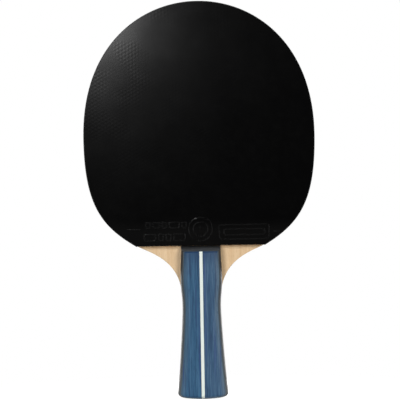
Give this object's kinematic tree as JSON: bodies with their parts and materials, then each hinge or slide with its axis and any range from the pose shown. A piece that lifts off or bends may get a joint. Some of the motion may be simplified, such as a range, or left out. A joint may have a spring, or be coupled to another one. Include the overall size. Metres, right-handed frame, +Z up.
{
  "type": "table tennis paddle",
  "caption": "Table tennis paddle: a layered wooden blade with a rubber on each face, taped edge and a flared handle of dyed veneers with a pale middle stripe.",
  "frame": {"origin": "middle of the grip: half way up the handle, on the middle line, in the middle ply", "axes": "+Z up the paddle from the butt to the crown of the head, -Y out of the front (black) rubber, +X to the right as seen from the front"},
  "size_m": [0.1512, 0.023, 0.26],
  "materials": {
    "core_wood": "satin",
    "cross_wood": "satin",
    "face_wood": "satin",
    "sponge": "matte",
    "black_rubber": "satin",
    "red_rubber": "satin",
    "edge_tape": "matte",
    "dark_wood": "satin",
    "slate_wood": "satin",
    "blue_wood": "satin",
    "ivory_wood": "satin"
  },
  "bodies": {
    "root": {"core_ply": "core_wood", "front_inner_ply": "cross_wood", "back_inner_ply": "cross_wood", "front_outer_ply": "face_wood", "back_outer_ply": "face_wood", "front_sponge": "sponge", "back_sponge": "sponge", "front_topsheet": "black_rubber", "back_topsheet": "red_rubber", "edge_tape": "edge_tape", "front_handle_scale": "dark_wood", "back_handle_scale": "dark_wood", "front_slate_layer": "slate_wood", "back_slate_layer": "slate_wood", "front_left_veneer": "blue_wood", "front_right_veneer": "blue_wood", "back_left_veneer": "blue_wood", "back_right_veneer": "blue_wood", "front_stripe": "ivory_wood", "back_stripe": "ivory_wood"}
  },
  "joints": []
}
